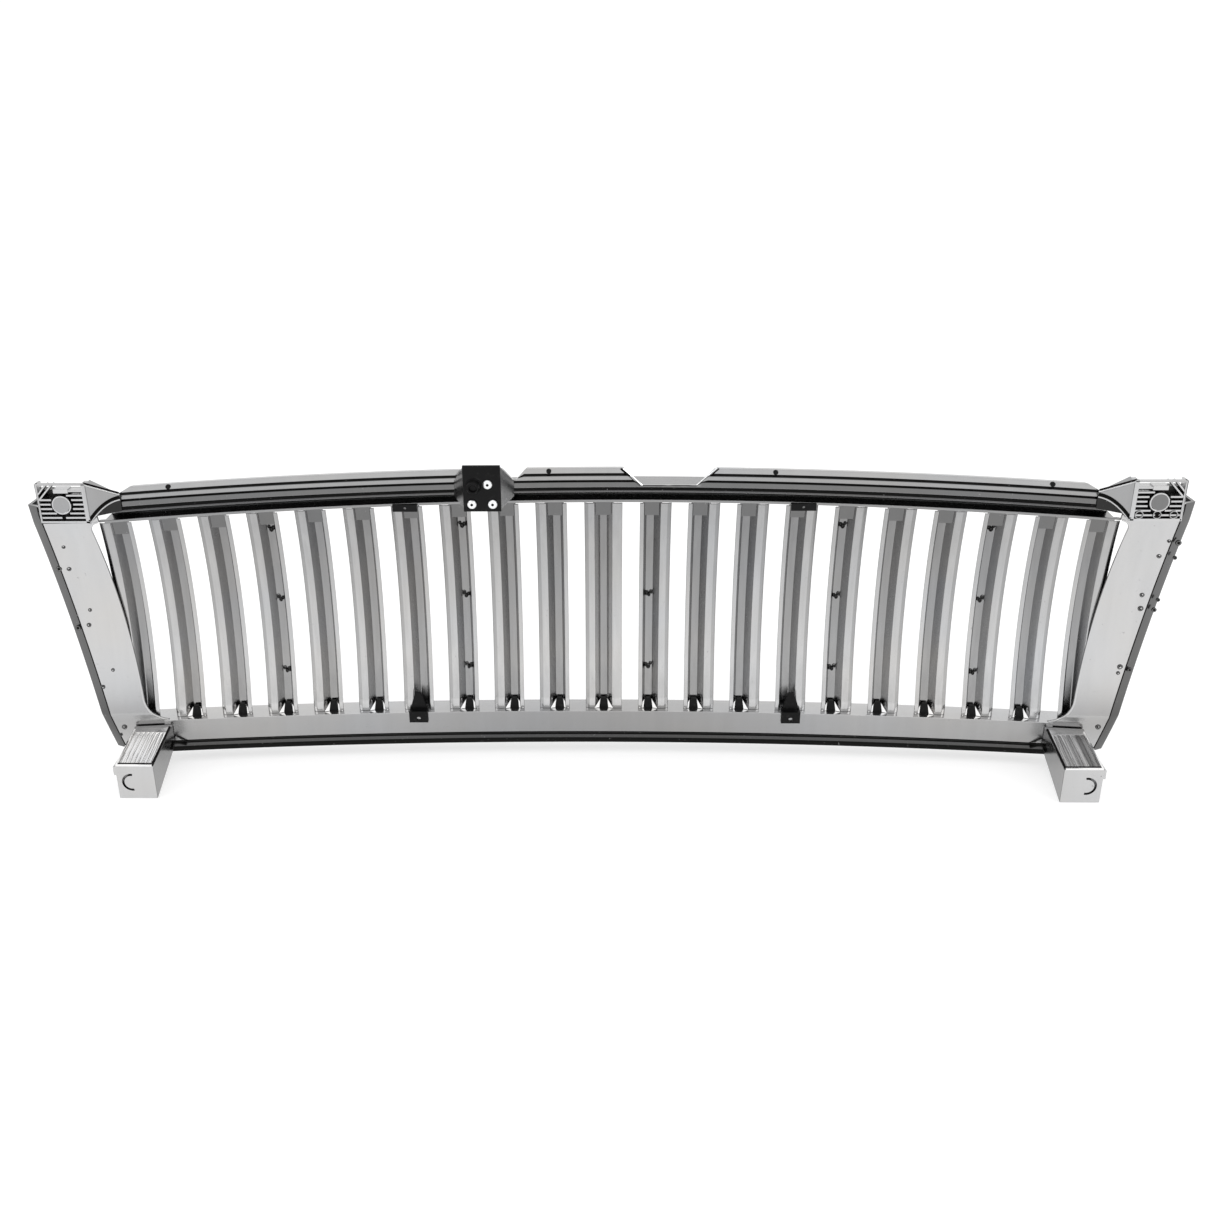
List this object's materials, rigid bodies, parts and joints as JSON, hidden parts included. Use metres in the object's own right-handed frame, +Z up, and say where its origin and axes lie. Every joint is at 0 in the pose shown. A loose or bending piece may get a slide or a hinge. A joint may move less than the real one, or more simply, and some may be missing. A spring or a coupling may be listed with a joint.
{
  "type": "front grille",
  "caption": "Chrome vehicle front grille: bowed vertical hat-section bars in a trapezoid frame with corner mounts, rear legs and an off-centre bonnet bumper.",
  "frame": {"origin": "centre of the underside of the overall box", "axes": "+Z up, -Y towards the front of the vehicle, +X towards the left-hand side of the vehicle"},
  "size_m": [1.0198, 0.1164, 0.3032],
  "materials": {
    "bar_chrome": "bright plated plastic",
    "frame_chrome": "bright plated plastic, softer on the rear skin",
    "bracket_chrome": "bright plated plastic with moulding texture",
    "black_plastic": "fine grained",
    "zinc": "zinc plated"
  },
  "bodies": {
    "root": {"bar_01": "bar_chrome", "bar_02": "bar_chrome", "bar_03": "bar_chrome", "bar_04": "bar_chrome", "bar_05": "bar_chrome", "bar_06": "bar_chrome", "bar_07": "bar_chrome", "bar_08": "bar_chrome", "bar_09": "bar_chrome", "bar_10": "bar_chrome", "bar_11": "bar_chrome", "bar_12": "bar_chrome", "bar_13": "bar_chrome", "bar_14": "bar_chrome", "bar_15": "bar_chrome", "bar_16": "bar_chrome", "bar_17": "bar_chrome", "bar_18": "bar_chrome", "bar_19": "bar_chrome", "bar_20": "bar_chrome", "bar_21": "bar_chrome", "bumper_plate": "black_plastic", "bumper_stud": "black_plastic", "bumper_tower": "bracket_chrome", "corner_mount_left": "bracket_chrome", "corner_mount_right": "bracket_chrome", "foot_comb": "black_plastic", "head_comb": "frame_chrome", "leg_left": "bracket_chrome", "leg_right": "bracket_chrome", "leg_tab_left": "bracket_chrome", "leg_tab_right": "bracket_chrome", "lip_pin_1": "black_plastic", "lip_pin_2": "black_plastic", "lip_pin_3": "black_plastic", "lip_pin_4": "black_plastic", "lower_bracket_left": "black_plastic", "lower_bracket_right": "black_plastic", "lower_rail": "frame_chrome", "plate_screw_1": "zinc", "plate_screw_2": "zinc", "plate_screw_3": "zinc", "side_panel_left": "frame_chrome", "side_panel_right": "frame_chrome", "top_rail": "frame_chrome", "upper_clip_left": "black_plastic", "upper_clip_right": "black_plastic"}
  },
  "joints": []
}
